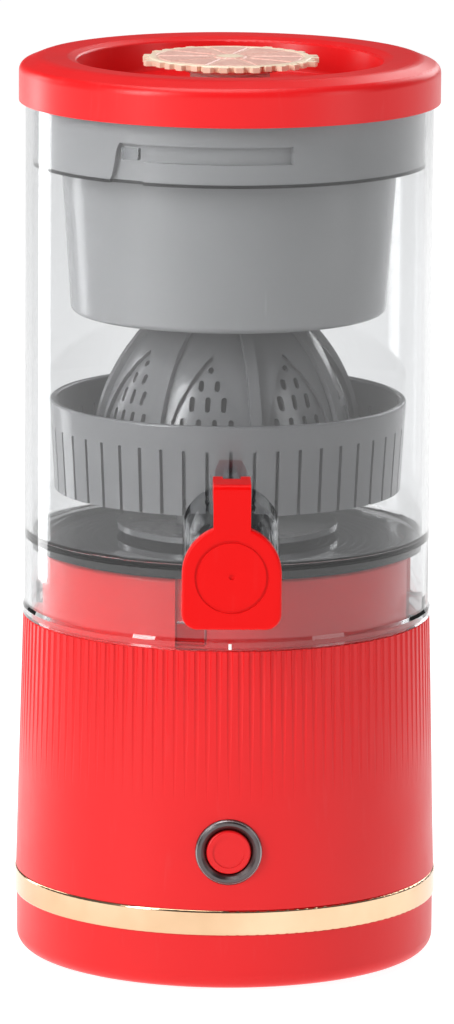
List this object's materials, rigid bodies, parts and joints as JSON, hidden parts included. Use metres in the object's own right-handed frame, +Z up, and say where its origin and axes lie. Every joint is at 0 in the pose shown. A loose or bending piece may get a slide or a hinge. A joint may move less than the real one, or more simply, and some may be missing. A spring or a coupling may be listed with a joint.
{
  "type": "citrus press juicer",
  "caption": "Cordless citrus juicer: red fluted motor base, clear jar with capped spout, grey strainer, reamer and press cup, and a red lid with a citrus-slice knob.",
  "frame": {"origin": "on the main axis, in the plane the rubber feet stand on", "axes": "+Z up along the main axis; -Y is the front, with the button and the spout; +X is the user's right"},
  "size_m": [0.1178, 0.1348, 0.2518],
  "materials": {
    "red_plastic": "gloss",
    "cap_red": "gloss",
    "gold_trim": "polished",
    "clear_plastic": "clear",
    "grey_plastic": "satin",
    "citrus_print": "satin",
    "dark_metal": "satin",
    "black_rubber": "matt",
    "port_rubber": "matt",
    "steel": "satin",
    "inner_plastic": "matt",
    "brass": "satin",
    "board_green": "satin",
    "cell_wrap": "satin",
    "wire_red": "satin"
  },
  "bodies": {
    "base": {"foot_shell": "red_plastic", "rubber_feet": "black_rubber", "gold_trim_ring": "gold_trim", "outer_shell": "red_plastic", "deck_cover": "red_plastic", "tie_rods": "inner_plastic", "tie_rod_screws": "steel", "button_bezel": "dark_metal", "tact_switch": "inner_plastic", "control_board": "board_green", "board_screws": "steel", "board_posts": "inner_plastic", "charge_board": "board_green", "charge_socket": "steel", "battery_cells": "cell_wrap", "battery_holder": "inner_plastic", "battery_leads": "wire_red", "motor_leads": "wire_red", "motor_can": "steel", "motor_end_cap": "inner_plastic", "motor_screws": "steel", "gearbox_housing": "inner_plastic", "gearbox_cover": "inner_plastic", "gearbox_screws": "steel", "gear_pins": "steel", "lower_bush": "brass", "upper_bush": "brass", "shaft_seal": "black_rubber"},
    "power button": {"button_cap": "red_plastic", "switch_plunger": "inner_plastic"},
    "motor rotor": {"motor_rotor": "steel", "motor_pinion": "brass"},
    "first wheel": {"first_gear": "inner_plastic"},
    "second wheel": {"second_gear": "inner_plastic"},
    "output": {"output_gear": "inner_plastic", "output_shaft": "steel"},
    "port flap": {"port_cover": "port_rubber"},
    "jar": {"jar": "clear_plastic", "floor_seal": "black_rubber", "spout_pin": "steel"},
    "spout cap": {"spout_cap": "cap_red", "spout_seal": "black_rubber"},
    "strainer": {"strainer_basket": "grey_plastic", "reamer_cone": "grey_plastic", "drive_hub": "grey_plastic"},
    "lid carrier": {"lid_gasket": "black_rubber"},
    "lid": {"lid_ring": "red_plastic", "lid_collar": "grey_plastic", "collar_seal": "black_rubber", "press_guide": "grey_plastic", "lid_screws": "steel"},
    "knob": {"press_knob": "citrus_print", "knob_hub": "inner_plastic", "press_spindle": "inner_plastic", "knob_screw": "steel"},
    "press": {"press_cup": "grey_plastic", "follower_pins": "steel"}
  },
  "joints": [
    {"name": "jar_lift", "type": "slide", "parent": "base", "child": "jar", "axis": [0, 0, 1], "range_m": [0, 0.06]},
    {"name": "lid_lift", "type": "slide", "parent": "jar", "child": "lid carrier", "axis": [0, 0, 1], "range_m": [0, 0.075]},
    {"name": "lid_twist", "type": "hinge", "parent": "lid carrier", "child": "lid", "pos_m": [0, 0, 0.231], "axis": [0, 0, 1], "range_deg": [-44, 0]},
    {"name": "press_travel", "type": "slide", "parent": "lid", "child": "press", "axis": [0, 0, 1], "range_m": [-0.014, 0]},
    {"name": "knob_turn", "type": "hinge", "parent": "lid", "child": "knob", "pos_m": [0, 0, 0.24], "axis": [0, 0, 1], "range_deg": [-210.01, 0]},
    {"name": "spout_cap_hinge", "type": "hinge", "parent": "jar", "child": "spout cap", "pos_m": [0, -0.063, 0.142], "axis": [-1, 0, 0], "range_deg": [0, 95]},
    {"name": "button_press", "type": "slide", "parent": "base", "child": "power button", "axis": [0, 1, 0], "range_m": [0, 0.0008], "stiffness_N_per_m": 600},
    {"name": "strainer_spin", "type": "hinge", "parent": "jar", "child": "strainer", "pos_m": [0, 0, 0.125], "axis": [0, 0, 1], "continuous": true},
    {"name": "output_turn", "type": "hinge", "parent": "base", "child": "output", "pos_m": [0, 0, 0.1], "axis": [0, 0, 1], "continuous": true},
    {"name": "second_wheel_turn", "type": "hinge", "parent": "base", "child": "second wheel", "pos_m": [0.024, 0, 0.09], "axis": [0, 0, 1], "continuous": true},
    {"name": "first_wheel_turn", "type": "hinge", "parent": "base", "child": "first wheel", "pos_m": [0.012, 0.02078, 0.084], "axis": [0, 0, 1], "continuous": true},
    {"name": "motor_turn", "type": "hinge", "parent": "base", "child": "motor rotor", "pos_m": [-0.012, 0.02078, 0.06], "axis": [0, 0, 1], "continuous": true},
    {"name": "port_flap_hinge", "type": "hinge", "parent": "base", "child": "port flap", "pos_m": [0, 0.05795, 0.02835], "axis": [-1, 0, 0], "range_deg": [0, 110]}
  ],
  "couplings": [
    {"joint": "knob_turn", "follows": "press_travel", "rad_per_m": 261.8},
    {"joint": "first_wheel_turn", "follows": "motor_turn", "ratio": -0.25},
    {"joint": "second_wheel_turn", "follows": "motor_turn", "ratio": 0.0625},
    {"joint": "output_turn", "follows": "motor_turn", "ratio": -0.015625},
    {"joint": "strainer_spin", "follows": "motor_turn", "ratio": -0.015625}
  ]
}
